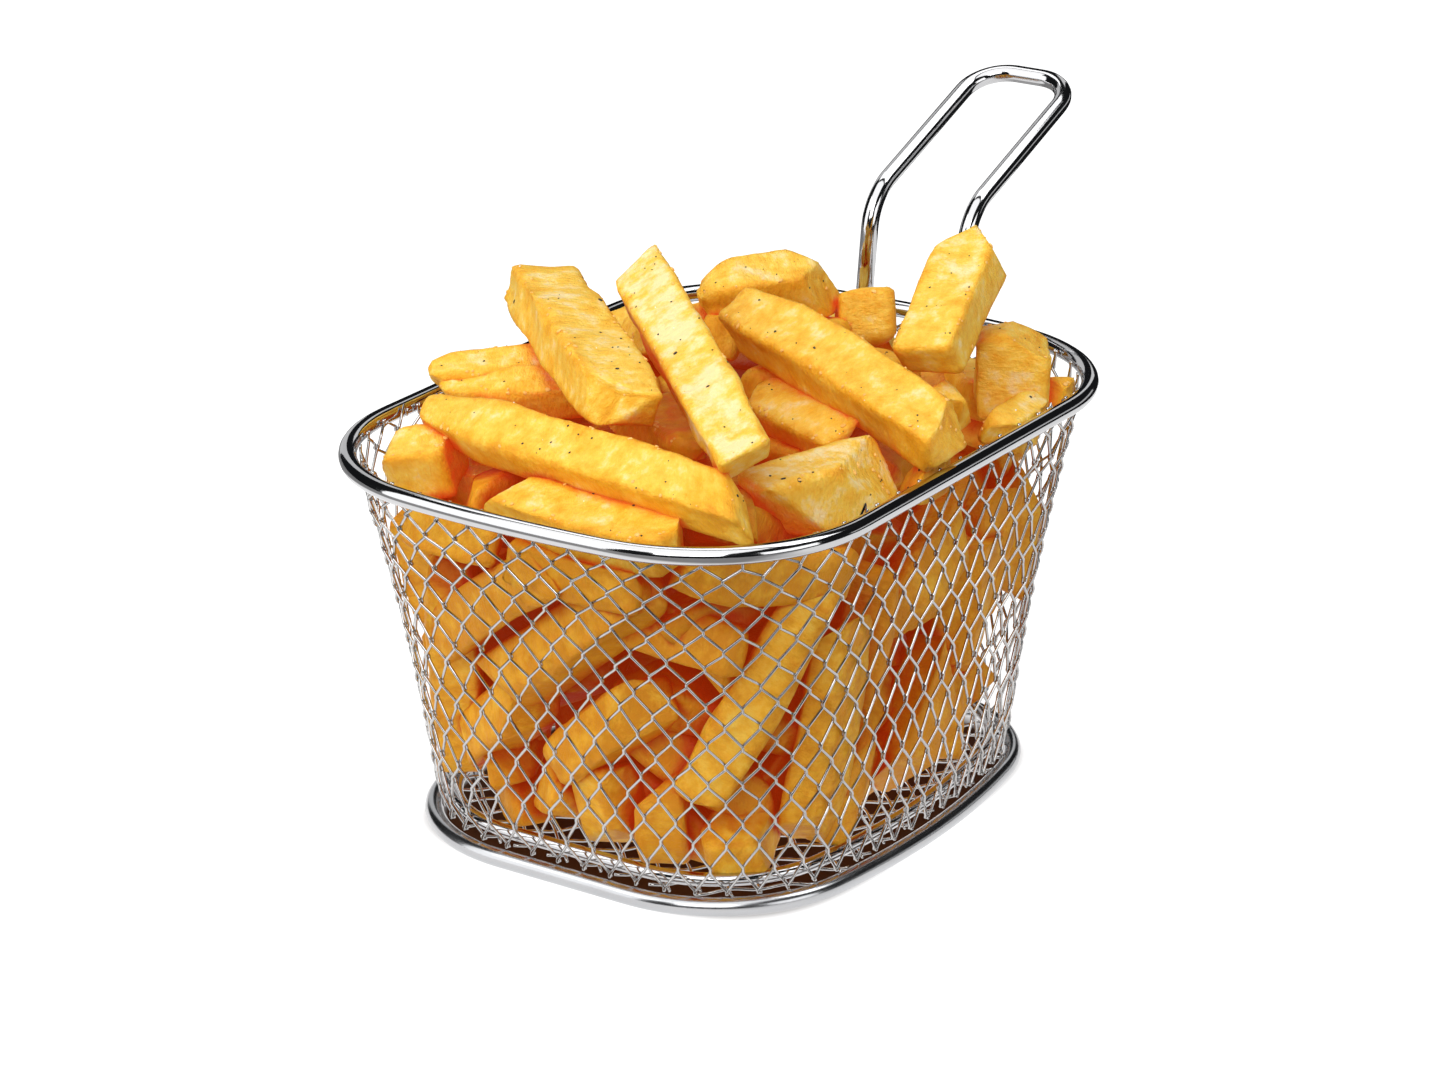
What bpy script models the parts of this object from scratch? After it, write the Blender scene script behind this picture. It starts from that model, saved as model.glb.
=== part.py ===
# Chip-shop portion of thick-cut fries heaped in a small wire mesh basket.
# Metres, +Z up. The basket stands on Z = 0 and its handle leans out over the +Y end.
import math

import bmesh
import bpy
from mathutils import Vector

MM = 0.001

# Every outline is half width (X), half length (Y), corner radius and the angles
# by which the long sides and the short ends bow outwards at their corners.
RIM_OUTLINE = (44.85 * MM, 61.05 * MM, 28.6 * MM, 0.0, math.radians(5.4))
BASE_OUTLINE = (39.8 * MM, 47.2 * MM, 25.5 * MM, math.radians(10.0), 0.0)
SIDE_STEPS = 3
CORNER_STEPS = 7
WIRE_FACETS = 10
FLOOR_WIRE_FACETS = 8
BEND_STEPS = 6

RIM_WIRE = 1.45 * MM
RIM_HEIGHT = 65.1 * MM
BASE_WIRE = 1.6 * MM
FLOOR_WIRE = 1.1 * MM
FLOOR_RING_INSET = 3.7 * MM
FLOOR_RING_HEIGHT = 4.45 * MM

CLOTH = 1.0 * MM
FLOOR_CLOTH_HEIGHT = 2.5 * MM
FLOOR_CLOTH_INSET = 3.3 * MM
WALL_FOOT = 3.0 * MM
# The wall flares from the base to the rim: this share evenly, the rest faster and faster.
WALL_EVEN_FLARE = 0.6
# Height of each level of the cloth's middle, and its inset from the flared outline.
WALL_LEVELS = [(WALL_FOOT, 2.25 * MM), (4.1 * MM, 1.6 * MM), (16 * MM, 1.0 * MM), (30 * MM, 1.0 * MM),
               (42 * MM, 1.0 * MM), (52 * MM, 1.0 * MM), (61.5 * MM, 0.8 * MM)]
# The same beside the rim, where the cloth tucks in behind the wire.
WALL_TOP_LEVELS = [(63.4 * MM, 1.9 * MM), (65.7 * MM, 2.3 * MM)]

HANDLE_WIRE = 1.5 * MM
HANDLE_GRIP_WIDTH = 19.0 * MM
HANDLE_CENTRE = 0.4 * MM
HANDLE_FOOT = (55.5 * MM, 57.5 * MM)
HANDLE_ELBOW = (59.05 * MM, 85.0 * MM)
HANDLE_SLOPE = math.radians(21.3)
HANDLE_REACH = 39.5 * MM
HANDLE_ELBOW_RADIUS = 9.5 * MM
HANDLE_END_RADIUS = 7.0 * MM

# The room that food can take: over the floor ring, inside the cloth, inside the rim, above it.
FLOOR_ROOM_INSET = 5.2 * MM
FLOOR_ROOM_LEVELS = [3.4 * MM, 6.0 * MM]
WALL_ROOM_LEVELS = [(6.1 * MM, 2.55 * MM), (16 * MM, 2.15 * MM), (30 * MM, 2.15 * MM),
                    (42 * MM, 2.15 * MM), (52 * MM, 2.15 * MM), (61.0 * MM, 2.15 * MM)]
RIM_ROOM_LEVELS = [(62.5 * MM, 3.2 * MM), (66.9 * MM, 3.2 * MM), (67.0 * MM, -1.0 * MM),
                   (120 * MM, -1.0 * MM)]
# The heart of the heap: height and inset from the flared outline, then its narrower top.
CORE_LEVELS = [(4 * MM, 8.5 * MM), (20 * MM, 8.5 * MM), (40 * MM, 8.5 * MM), (58 * MM, 8.5 * MM)]
CORE_TOP = 66 * MM
CORE_TOP_OUTLINE = 64 * MM
CORE_TOP_INSET = 16.5 * MM

# Fries as (start, end, width, thickness), all in millimetres from the middle
# of the basket's foot, first those on top of the heap.
TOP_FRIES = [
    ((-32.5, -37.0, 69.8), (32.0, -46.5, 70.0), 8.8, 8.8),
    ((-36.0, -0.5, 77.5), (6.0, -37.5, 79.0), 10.0, 9.5),
    ((-19.5, 4.5, 82.5), (29.0, -39.5, 75.5), 9.5, 7.5),
    ((-20.0, 10.0, 73.5), (-4.5, 34.5, 76.5), 11.0, 9.5),
    ((-5.0, 16.0, 73.5), (42.0, -2.0, 69.8), 10.0, 10.0),
    ((29.7, 7.5, 71.1), (23.5, 37.0, 85.5), 11.5, 9.5),
    ((27.5, 47.5, 69.0), (31.0, 26.0, 63.0), 12.0, 9.0),
    ((-5.0, 50.0, 69.5), (1.0, 41.5, 68.0), 9.0, 7.5),
    ((18.0, -33.0, 61.0), (37.5, -13.0, 66.0), 11.0, 11.0),
    ((-35.5, -42.0, 62.5), (-24.0, -39.5, 63.5), 9.5, 8.0),
    ((-14.0, -52.0, 61.5), (26.0, -51.5, 62.0), 8.5, 8.0),
    ((-41.0, -24.5, 68.5), (-21.5, -7.0, 69.0), 8.0, 8.0),
    ((-9.0, -12.0, 68.0), (10.5, -22.0, 66.5), 11.0, 8.0),
    ((3.0, 4.5, 65.5), (26.5, -5.0, 64.5), 10.0, 8.0),
    ((39.0, 14.0, 62.0), (40.0, 32.0, 62.5), 7.0, 6.5),
    ((37.0, 35.0, 63.5), (38.0, 43.0, 63.5), 6.0, 5.5),
    ((37.5, -9.0, 62.0), (39.0, 4.0, 62.5), 7.0, 7.0),
    ((26.0, 17.0, 66.5), (33.0, 20.5, 67.5), 8.0, 7.0),
    ((-6.5, 29.0, 68.0), (7.0, 29.0, 68.0), 9.0, 8.0),
    ((-22.0, 20.0, 69.5), (-13.0, 31.0, 70.0), 9.0, 8.0),
    ((6.0, 28.5, 66.0), (21.0, 23.0, 66.0), 9.0, 8.0),
    ((-37.0, 8.0, 64.0), (-30.5, 39.0, 65.5), 9.0, 8.5),
    ((-25.0, 46.5, 63.0), (5.0, 47.5, 62.0), 9.0, 8.5),
    ((-29.0, 12.0, 68.5), (-14.0, 41.0, 69.0), 10.0, 8.5),
    ((-36.0, -9.0, 62.5), (-13.0, -3.0, 66.0), 9.5, 9.0),
    ((14.0, 45.0, 62.0), (31.0, 33.0, 61.0), 9.5, 9.0),
    ((-4.0, 9.0, 66.0), (21.0, 24.0, 65.5), 9.5, 9.0),
]
# Fries that lean on the near end and on the long side beside it.
NEAR_FRIES = [
    ((-28.0, -45.0, 51.5), (-24.5, -40.5, 30.5), 8.0, 8.0),
    ((3.5, -52.0, 56.5), (-24.5, -43.5, 36.5), 9.0, 9.0),
    ((17.5, -50.5, 55.0), (-14.5, -43.5, 28.5), 10.0, 9.5),
    ((-5.5, -44.0, 31.0), (-24.5, -37.5, 14.5), 9.5, 9.0),
    ((16.5, -45.0, 35.5), (-3.5, -41.5, 17.5), 10.0, 9.0),
    ((-2.5, -39.5, 15.0), (-7.0, -37.5, 6.0), 9.0, 8.0),
    ((10.0, -43.0, 19.0), (8.5, -38.5, 4.5), 8.5, 8.0),
    ((16.0, -40.0, 24.5), (14.0, -36.0, 6.0), 8.0, 8.0),
    ((36.0, -29.0, 47.0), (24.0, -40.5, 22.0), 10.5, 9.5),
    ((30.0, -28.5, 9.5), (20.5, -37.0, 9.0), 10.0, 9.0),
    ((26.5, -20.0, 22.0), (22.5, -30.5, 10.5), 9.0, 9.0),
    ((34.5, -16.5, 25.5), (31.0, -21.0, 7.0), 9.5, 9.0),
    ((24.5, -50.0, 59.0), (36.5, -24.0, 53.0), 9.0, 8.5),
    ((24.5, -44.5, 47.5), (32.5, -36.5, 50.0), 9.0, 8.5),
    ((36.5, 12.5, 51.0), (35.0, -8.0, 39.0), 10.5, 10.0),
    ((34.0, 11.5, 28.5), (32.0, -1.5, 7.0), 9.5, 9.0),
    ((36.0, 21.5, 50.5), (33.0, 17.5, 27.5), 8.0, 8.0),
    ((32.0, 20.5, 25.0), (30.0, 14.5, 8.0), 8.0, 8.0),
    ((35.5, -12.0, 51.0), (32.5, -14.0, 27.5), 9.0, 9.0),
    ((-27.5, -47.0, 55.5), (-7.5, -51.0, 56.5), 8.0, 8.0),
    ((-6.0, -51.0, 55.0), (17.5, -51.0, 55.0), 8.5, 8.0),
    ((11.0, -46.5, 49.5), (23.5, -42.5, 44.0), 9.0, 9.0),
]
# Fries that lean on the handle end and on the other long side.
FAR_FRIES = [
    ((-37.0, -34.0, 55.0), (-35.5, -4.0, 41.0), 9.0, 9.0),
    ((-37.5, 2.0, 57.0), (-36.0, 34.0, 50.0), 9.5, 9.0),
    ((-34.0, -30.0, 34.0), (-33.0, -8.0, 18.0), 9.5, 9.0),
    ((-35.0, 4.0, 38.0), (-33.0, 30.0, 26.0), 10.0, 9.0),
    ((-32.0, -2.0, 22.0), (-31.0, 18.0, 9.5), 9.0, 9.0),
    ((-31.0, -24.0, 9.5), (-31.0, -6.0, 9.0), 9.0, 9.0),
    ((-31.0, 22.0, 14.0), (-25.0, 36.0, 20.0), 9.0, 8.5),
    ((-30.0, 46.0, 56.0), (-3.0, 48.0, 46.0), 9.0, 9.0),
    ((4.0, 48.0, 57.0), (27.0, 46.5, 48.0), 9.5, 9.0),
    ((-25.0, 44.0, 36.0), (-4.0, 42.0, 22.0), 9.5, 9.0),
    ((4.0, 44.5, 38.0), (25.0, 42.0, 30.0), 9.5, 9.0),
    ((-20.0, 37.5, 13.0), (-1.0, 38.0, 9.0), 9.0, 8.5),
    ((7.0, 39.5, 21.0), (24.0, 33.5, 8.5), 9.5, 9.0),
    ((33.5, 39.0, 51.0), (31.5, 34.0, 30.0), 9.0, 9.0),
    ((-33.0, 40.0, 43.0), (-28.5, 36.0, 25.0), 9.0, 9.0),
]
FRY_EDGE = 0.9 * MM

STEEL = (0.62, 0.62, 0.61, 1.0)
POTATO = (0.86, 0.52, 0.10, 1.0)


def clear_scene():
    for item in list(bpy.data.objects):
        bpy.data.objects.remove(item, do_unlink=True)


def make_collection(name):
    group = bpy.data.collections.new(name)
    bpy.context.scene.collection.children.link(group)
    return group


def make_material(name, colour, roughness, metallic):
    material = bpy.data.materials.new(name)
    material.use_nodes = True
    material.diffuse_color = colour
    shader = material.node_tree.nodes["Principled BSDF"]
    shader.inputs["Base Color"].default_value = colour
    shader.inputs["Roughness"].default_value = roughness
    shader.inputs["Metallic"].default_value = metallic
    return material


def outline_points(outline, inset=0.0):
    """Points round a rounded rectangle whose sides may bow, from the middle of +X."""
    half_x, half_y, corner, bow_x, bow_y = outline
    half_x, half_y, corner = half_x - inset, half_y - inset, corner - inset
    rise_x, rise_y = math.tan(bow_x) / 2, math.tan(bow_y) / 2
    reach_x = half_x - corner * (math.cos(bow_x) + math.sin(bow_x) * rise_x)
    reach_y = half_y - corner * (math.cos(bow_y) + math.sin(bow_y) * rise_y)
    centre_x = (reach_x - reach_y * rise_x) / (1 - rise_x * rise_y)
    centre_y = reach_y - centre_x * rise_y
    side_end = centre_y + corner * math.sin(bow_x)
    end_end = centre_x + corner * math.sin(bow_y)
    quarter = []
    for step in range(SIDE_STEPS):
        y = side_end * step / SIDE_STEPS
        quarter.append((half_x - rise_x * y * y / side_end, y))
    for step in range(CORNER_STEPS + 1):
        turn = bow_x + (math.pi / 2 - bow_x - bow_y) * step / CORNER_STEPS
        quarter.append((centre_x + corner * math.cos(turn), centre_y + corner * math.sin(turn)))
    for step in range(SIDE_STEPS - 1, 0, -1):
        x = end_end * step / SIDE_STEPS
        quarter.append((x, half_y - rise_y * x * x / end_end))
    half = quarter + [(0.0, half_y)] + [(-x, y) for x, y in quarter[:0:-1]]
    return half + [(-x, -y) for x, y in half]


def wall_outline(height):
    """The outline of the mesh wall's middle, which flares more towards the rim."""
    rise = (height - WALL_FOOT) / (RIM_HEIGHT - WALL_FOOT)
    flare = WALL_EVEN_FLARE * rise + (1 - WALL_EVEN_FLARE) * rise * rise
    return tuple(low + (high - low) * flare for low, high in zip(BASE_OUTLINE, RIM_OUTLINE))


def flared_levels(levels):
    return [(height, outline_points(wall_outline(height), inset)) for height, inset in levels]


def rim_levels(levels):
    return [(height, outline_points(RIM_OUTLINE, inset)) for height, inset in levels]


def add_object(name, data, group, parent, material=None):
    item = bpy.data.objects.new(name, data)
    group.objects.link(item)
    item.parent = parent
    if material:
        data.materials.append(material)
    return item


def wire_curve(name, path, radius, facets=WIRE_FACETS):
    """A round wire of some facets along a path of points."""
    curve = bpy.data.curves.new(name, "CURVE")
    curve.dimensions = "3D"
    curve.bevel_depth = radius
    curve.bevel_resolution = (facets - 4) // 2
    spline = curve.splines.new("POLY")
    spline.points.add(len(path) - 1)
    for place, point in zip(spline.points, path):
        place.co = (*point, 1.0)
    return curve


def ring_wire(name, points, height, radius, group, parent, material, facets=WIRE_FACETS):
    """A closed level ring of round wire, with a level facet underneath."""
    curve = wire_curve(name, [(x, y, height) for x, y in points], radius, facets)
    curve.twist_mode = "Z_UP"
    curve.splines[0].use_cyclic_u = True
    return add_object(name, curve, group, parent, material)


def stacked_mesh(name, levels, closed):
    """A mesh drawn up through level outlines, each given as height and points."""
    mesh = bpy.data.meshes.new(name)
    draft = bmesh.new()
    height, points = levels[0]
    ring = bmesh.ops.create_circle(draft, segments=len(points), radius=1.0, cap_ends=closed)["verts"]
    for vertex, (x, y) in zip(ring, points):
        vertex.co = (x, y, height)
    edges = draft.edges[:]
    for height, points in levels[1:]:
        grown = bmesh.ops.extrude_edge_only(draft, edges=edges)["geom"]
        ring = [part for part in grown if isinstance(part, bmesh.types.BMVert)]
        edges = [part for part in grown if isinstance(part, bmesh.types.BMEdge)
                 and all(end in ring for end in part.verts)]
        for vertex, (x, y) in zip(ring, points):
            vertex.co = (x, y, height)
    if closed:
        bmesh.ops.contextual_create(draft, geom=edges)
    bmesh.ops.recalc_face_normals(draft, faces=draft.faces)
    draft.to_mesh(mesh)
    draft.free()
    return mesh


def mesh_wall(group, parent, material):
    levels = flared_levels(WALL_LEVELS) + rim_levels(WALL_TOP_LEVELS)
    wall = add_object("mesh_wall", stacked_mesh("mesh_wall", levels, False), group, parent, material)
    skin = wall.modifiers.new("cloth", "SOLIDIFY")
    skin.thickness = CLOTH
    skin.offset = 0.0
    skin.use_even_offset = True
    return wall


def mesh_floor(group, parent, material):
    levels = [(FLOOR_CLOTH_HEIGHT + side * CLOTH / 2, outline_points(BASE_OUTLINE, FLOOR_CLOTH_INSET))
              for side in (-1, 1)]
    return add_object("mesh_floor", stacked_mesh("mesh_floor", levels, True), group, parent, material)


def rounded_corner(before, corner, after, radius, steps):
    """Points of an arc of the given radius that rounds one corner of a path."""
    inward = (before - corner).normalized()
    outward = (after - corner).normalized()
    half_angle = inward.angle(outward) / 2
    centre = corner + (inward + outward).normalized() * (radius / math.sin(half_angle))
    run = radius / math.tan(half_angle)
    start = corner + inward * run - centre
    finish = corner + outward * run - centre
    sweep = start.angle(finish)
    points = []
    for step in range(steps + 1):
        part = step / steps
        mix = start * math.sin((1 - part) * sweep) + finish * math.sin(part * sweep)
        points.append(centre + mix / math.sin(sweep))
    return points


def handle_end_y():
    return HANDLE_ELBOW[0] + HANDLE_REACH * math.cos(HANDLE_SLOPE) + HANDLE_WIRE


def handle(group, parent, material):
    """One wire: up a leg, out along the slope, across the end and back again."""
    end = (HANDLE_ELBOW[0] + HANDLE_REACH * math.cos(HANDLE_SLOPE),
           HANDLE_ELBOW[1] + HANDLE_REACH * math.sin(HANDLE_SLOPE))
    left, right = (HANDLE_CENTRE + side * HANDLE_GRIP_WIDTH / 2 for side in (-1, 1))
    corners = [Vector((left, *HANDLE_FOOT)), Vector((left, *HANDLE_ELBOW)), Vector((left, *end)),
               Vector((right, *end)), Vector((right, *HANDLE_ELBOW)), Vector((right, *HANDLE_FOOT))]
    radii = (HANDLE_ELBOW_RADIUS, HANDLE_END_RADIUS, HANDLE_END_RADIUS, HANDLE_ELBOW_RADIUS)
    path = [corners[0]]
    for index, radius in enumerate(radii, start=1):
        path += rounded_corner(corners[index - 1], corners[index], corners[index + 1], radius,
                               BEND_STEPS)
    path.append(corners[-1])
    curve = wire_curve("handle", path, HANDLE_WIRE)
    curve.use_fill_caps = True
    return add_object("handle", curve, group, parent, material)


def one_fry(start, end, width, thickness, softened, group, parent):
    """A cut chip: a long box laid from start to end, with its edges softened if seen."""
    start, end = Vector(start) * MM, Vector(end) * MM
    mesh = bpy.data.meshes.new("fry")
    draft = bmesh.new()
    bmesh.ops.create_cube(draft, size=1.0)
    bmesh.ops.scale(draft, verts=draft.verts, vec=(width * MM, (end - start).length, thickness * MM))
    if softened:
        bmesh.ops.bevel(draft, geom=draft.edges[:], offset=FRY_EDGE, segments=1, profile=0.5,
                        affect="EDGES")
    draft.to_mesh(mesh)
    draft.free()
    fry = add_object("fry", mesh, group, parent)
    fry.location = (start + end) / 2
    fry.rotation_mode = "QUATERNION"
    fry.rotation_quaternion = (end - start).to_track_quat("Y", "Z")
    return fry


def food_room(group, parent):
    """The space inside the cloth and above the rim that food may fill."""
    floor = outline_points(BASE_OUTLINE, FLOOR_ROOM_INSET)
    levels = [(height, floor) for height in FLOOR_ROOM_LEVELS]
    levels += flared_levels(WALL_ROOM_LEVELS) + rim_levels(RIM_ROOM_LEVELS)
    return add_object("food_room", stacked_mesh("food_room", levels, True), group, parent)


def fries(group, cutters, room, parent, material):
    """The heap as one solid: a core with every fry joined on, kept inside the basket."""
    top = (CORE_TOP, outline_points(wall_outline(CORE_TOP_OUTLINE), CORE_TOP_INSET))
    core = stacked_mesh("fries", flared_levels(CORE_LEVELS) + [top], True)
    heap = add_object("fries", core, group, parent, material)
    for fry in TOP_FRIES:
        one_fry(*fry, True, cutters, parent)
    for fry in NEAR_FRIES + FAR_FRIES:
        one_fry(*fry, False, cutters, parent)
    join = heap.modifiers.new("join", "BOOLEAN")
    join.operand_type = "COLLECTION"
    join.collection = cutters
    join.operation = "UNION"
    join.solver = "EXACT"
    trim = heap.modifiers.new("trim", "BOOLEAN")
    trim.object = room
    trim.operation = "INTERSECT"
    trim.solver = "EXACT"
    return heap


def hide_cutters(*groups):
    for group in groups:
        for item in group.objects:
            item.hide_render = True
            item.display_type = "WIRE"


def main():
    clear_scene()
    portion = make_collection("fries_in_mesh_basket")
    fry_shapes = make_collection("fry_shapes")
    room_shapes = make_collection("room_shapes")
    stand = bpy.data.objects.new("stand", None)
    portion.objects.link(stand)
    stand.location.y = -(handle_end_y() - RIM_OUTLINE[1] - RIM_WIRE) / 2

    steel = {name: make_material(f"{name}_steel", STEEL, 0.15, 1.0)
             for name in ("rim", "base_ring", "floor_ring", "mesh_wall", "mesh_floor", "handle")}
    potato = make_material("fried_potato", POTATO, 0.5, 0.0)

    ring_wire("rim", outline_points(RIM_OUTLINE), RIM_HEIGHT, RIM_WIRE, portion, stand, steel["rim"])
    base_height = BASE_WIRE * math.cos(math.pi / WIRE_FACETS)
    ring_wire("base_ring", outline_points(BASE_OUTLINE), base_height, BASE_WIRE,
              portion, stand, steel["base_ring"])
    ring_wire("floor_ring", outline_points(BASE_OUTLINE, FLOOR_RING_INSET), FLOOR_RING_HEIGHT,
              FLOOR_WIRE, portion, stand, steel["floor_ring"], FLOOR_WIRE_FACETS)
    mesh_wall(portion, stand, steel["mesh_wall"])
    mesh_floor(portion, stand, steel["mesh_floor"])
    handle(portion, stand, steel["handle"])
    fries(portion, fry_shapes, food_room(room_shapes, stand), stand, potato)
    hide_cutters(fry_shapes, room_shapes)


main()
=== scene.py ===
import math
import random
from bisect import bisect_right

import bmesh
import bpy
from mathutils import Matrix, Quaternion, Vector, noise
from mathutils.bvhtree import BVHTree


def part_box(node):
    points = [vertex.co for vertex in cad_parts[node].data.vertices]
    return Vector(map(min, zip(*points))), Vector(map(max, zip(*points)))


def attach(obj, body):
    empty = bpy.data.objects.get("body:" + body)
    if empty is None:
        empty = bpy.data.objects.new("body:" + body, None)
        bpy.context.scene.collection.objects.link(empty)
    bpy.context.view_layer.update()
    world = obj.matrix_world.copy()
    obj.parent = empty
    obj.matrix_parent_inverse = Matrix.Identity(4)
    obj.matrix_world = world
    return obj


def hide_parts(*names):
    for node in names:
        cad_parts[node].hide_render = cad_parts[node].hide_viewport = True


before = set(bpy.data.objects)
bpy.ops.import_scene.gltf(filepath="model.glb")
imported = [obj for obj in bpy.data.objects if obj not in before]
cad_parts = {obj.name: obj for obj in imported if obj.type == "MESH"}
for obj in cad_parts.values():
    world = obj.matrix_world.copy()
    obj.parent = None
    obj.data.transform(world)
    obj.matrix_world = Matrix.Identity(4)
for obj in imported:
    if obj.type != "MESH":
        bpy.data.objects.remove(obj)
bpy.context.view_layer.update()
print("frame loaded")

mm = 0.001

# places taken from the frame
baseLow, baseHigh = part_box("base_ring")
rimLow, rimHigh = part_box("rim")
middle = Vector(((baseLow.x + baseHigh.x) / 2, (baseLow.y + baseHigh.y) / 2, 0))

basket = {
    "rimWire": 1.45 * mm,       # radii of the round wires
    "baseWire": 1.5 * mm,
    "innerWire": 1.1 * mm,
    "handleWire": 1.497 * mm,
    "clothWire": 0.245 * mm,
    "wireSides": 16,
    "ringSteps": 260,
    "rimCorner": 28.6 * mm,
    "baseCorner": 25.5 * mm,
    "rimEndBow": math.radians(5.4),
    "baseSideBow": math.radians(10),
    "innerInset": 3.7 * mm,     # the inner ring from the foot ring
    "innerHeight": 4.45 * mm,
    "cornerShares": (0.3, 0.75),    # where the corner starts and stops among the points of a quarter
}
rimShape = ((rimHigh.x - rimLow.x) / 2 - basket["rimWire"], (rimHigh.y - rimLow.y) / 2 - basket["rimWire"],
            basket["rimCorner"], 0.0, basket["rimEndBow"])
baseShape = ((baseHigh.x - baseLow.x) / 2 - basket["baseWire"],
             (baseHigh.y - baseLow.y) / 2 - basket["baseWire"],
             basket["baseCorner"], basket["baseSideBow"], 0.0)
rimHeight = (rimLow.z + rimHigh.z) / 2
baseHeight = (baseLow.z + baseHigh.z) / 2


# small helpers
def linear(hexCode, alpha=1.0):
    # an sRGB hex value as linear light
    parts = [int(hexCode[i:i + 2], 16) / 255 for i in (1, 3, 5)]
    return tuple(p / 12.92 if p <= 0.04045 else ((p + 0.055) / 1.055) ** 2.4 for p in parts) + (alpha,)


def setNode(tree, node, settings, links):
    # links give an input another node's output; a whole node stands for its first output
    for name, value in settings.items():
        if isinstance(name, str) and hasattr(node, name):
            setattr(node, name, value)
        else:
            node.inputs[name].default_value = value
    for name, source in links.items():
        output = source.outputs[0] if isinstance(source, bpy.types.Node) else source
        tree.links.new(output, node.inputs[name])


def addNode(tree, kind, settings=None, links=None):
    node = tree.nodes.new("ShaderNode" + kind)
    setNode(tree, node, settings or {}, links or {})
    return node


def newMaterial(name):
    material = bpy.data.materials.new(name)
    material.use_nodes = True
    return material, material.node_tree, material.node_tree.nodes["Principled BSDF"]


def newObject(name, data):
    item = bpy.data.objects.new(name, data)
    bpy.context.scene.collection.objects.link(item)
    return item


def finishPiece(piece, material, slot, *nodes):
    piece.data.materials.clear()
    piece.data.materials.append(material)
    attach(piece, "root")
    if nodes:
        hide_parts(*nodes)


def newPiece(name, bm, smooth=True):
    mesh = bpy.data.meshes.new(name)
    bm.to_mesh(mesh)
    bm.free()
    if smooth:
        mesh.shade_smooth()
    return newObject(name, mesh)


def outlinePoint(shape, inset, quarterShare):
    # one quarter of the bowed oblong, from the middle of its +X side to the middle of its +Y end
    halfX, halfY, corner, bowX, bowY = shape
    halfX, halfY, corner = halfX - inset, halfY - inset, corner - inset
    riseX, riseY = math.tan(bowX) / 2, math.tan(bowY) / 2
    reachX = halfX - corner * (math.cos(bowX) + math.sin(bowX) * riseX)
    reachY = halfY - corner * (math.cos(bowY) + math.sin(bowY) * riseY)
    centreX = (reachX - reachY * riseX) / (1 - riseX * riseY)
    centreY = reachY - centreX * riseY
    sideHalf = centreY + corner * math.sin(bowX)
    endHalf = centreX + corner * math.sin(bowY)
    cornerFrom, cornerTo = basket["cornerShares"]
    if quarterShare < cornerFrom:
        y = sideHalf * quarterShare / cornerFrom
        return halfX - riseX * y * y / sideHalf, y
    if quarterShare <= cornerTo:
        turn = bowX + (math.pi / 2 - bowX - bowY) * (quarterShare - cornerFrom) / (cornerTo - cornerFrom)
        return centreX + corner * math.cos(turn), centreY + corner * math.sin(turn)
    x = endHalf * (1 - quarterShare) / (1 - cornerTo)
    return x, halfY - riseY * x * x / endHalf


def ringTable(shape, inset, steps=40):
    # the whole outline with its running length, for even spacing round the basket
    points = []
    for signX, signY in ((1, 1), (-1, 1), (-1, -1), (1, -1)):
        for k in range(steps):
            along = k if signX == signY else steps - k      # every second quarter runs backwards
            x, y = outlinePoint(shape, inset, along / steps)
            points.append(Vector((signX * x, signY * y)))
    points.append(points[0])
    lengths = [0.0]
    for a, b in zip(points, points[1:]):
        lengths.append(lengths[-1] + (b - a).length)
    return points, lengths


def pointOnRing(table, share, height):
    points, lengths = table
    wanted = (share % 1.0) * lengths[-1]
    k = min(bisect_right(lengths, wanted), len(lengths) - 1)
    part = (wanted - lengths[k - 1]) / (lengths[k] - lengths[k - 1])
    flat = points[k - 1].lerp(points[k], part)
    return Vector((flat.x, flat.y, height)) + middle


def steppedValue(levels, height):
    # straight-line reading between (height, value) pairs
    if height <= levels[0][0]:
        return levels[0][1]
    for (z0, v0), (z1, v1) in zip(levels, levels[1:]):
        if height <= z1:
            return v0 + (v1 - v0) * (height - z0) / (z1 - z0)
    return levels[-1][1]


def wirePiece(name, paths, radius, sides, closed=False):
    # round wires along lists of points, as one mesh with welded ends
    curve = bpy.data.curves.new(name, "CURVE")
    curve.dimensions = "3D"
    curve.bevel_depth = radius
    curve.bevel_resolution = (sides - 4) // 2
    curve.use_fill_caps = not closed
    curve.twist_mode = "Z_UP" if closed else "MINIMUM"
    for path in paths:
        spline = curve.splines.new("POLY")
        spline.points.add(len(path) - 1)
        spline.points.foreach_set("co", [c for p in path for c in (*p, 1.0)])
        spline.use_cyclic_u = closed
        spline.use_smooth = True
    source = newObject(name, curve)
    bpy.context.view_layer.update()
    mesh = bpy.data.meshes.new_from_object(source.evaluated_get(bpy.context.evaluated_depsgraph_get()))
    bpy.data.objects.remove(source)
    bm = bmesh.new()
    bm.from_mesh(mesh)
    bmesh.ops.remove_doubles(bm, verts=bm.verts, dist=0.0001 * mm)
    return newPiece(name, bm)


# materials
steelLook = {
    "cloud": 9 * mm,            # size of the patches where the polish varies
    "glossRange": (0.7, 1.5),   # how far it varies, as shares of the roughness
    "lineDepth": 0.02 * mm,     # draw lines
    "lineStrength": 0.12,
}


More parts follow.
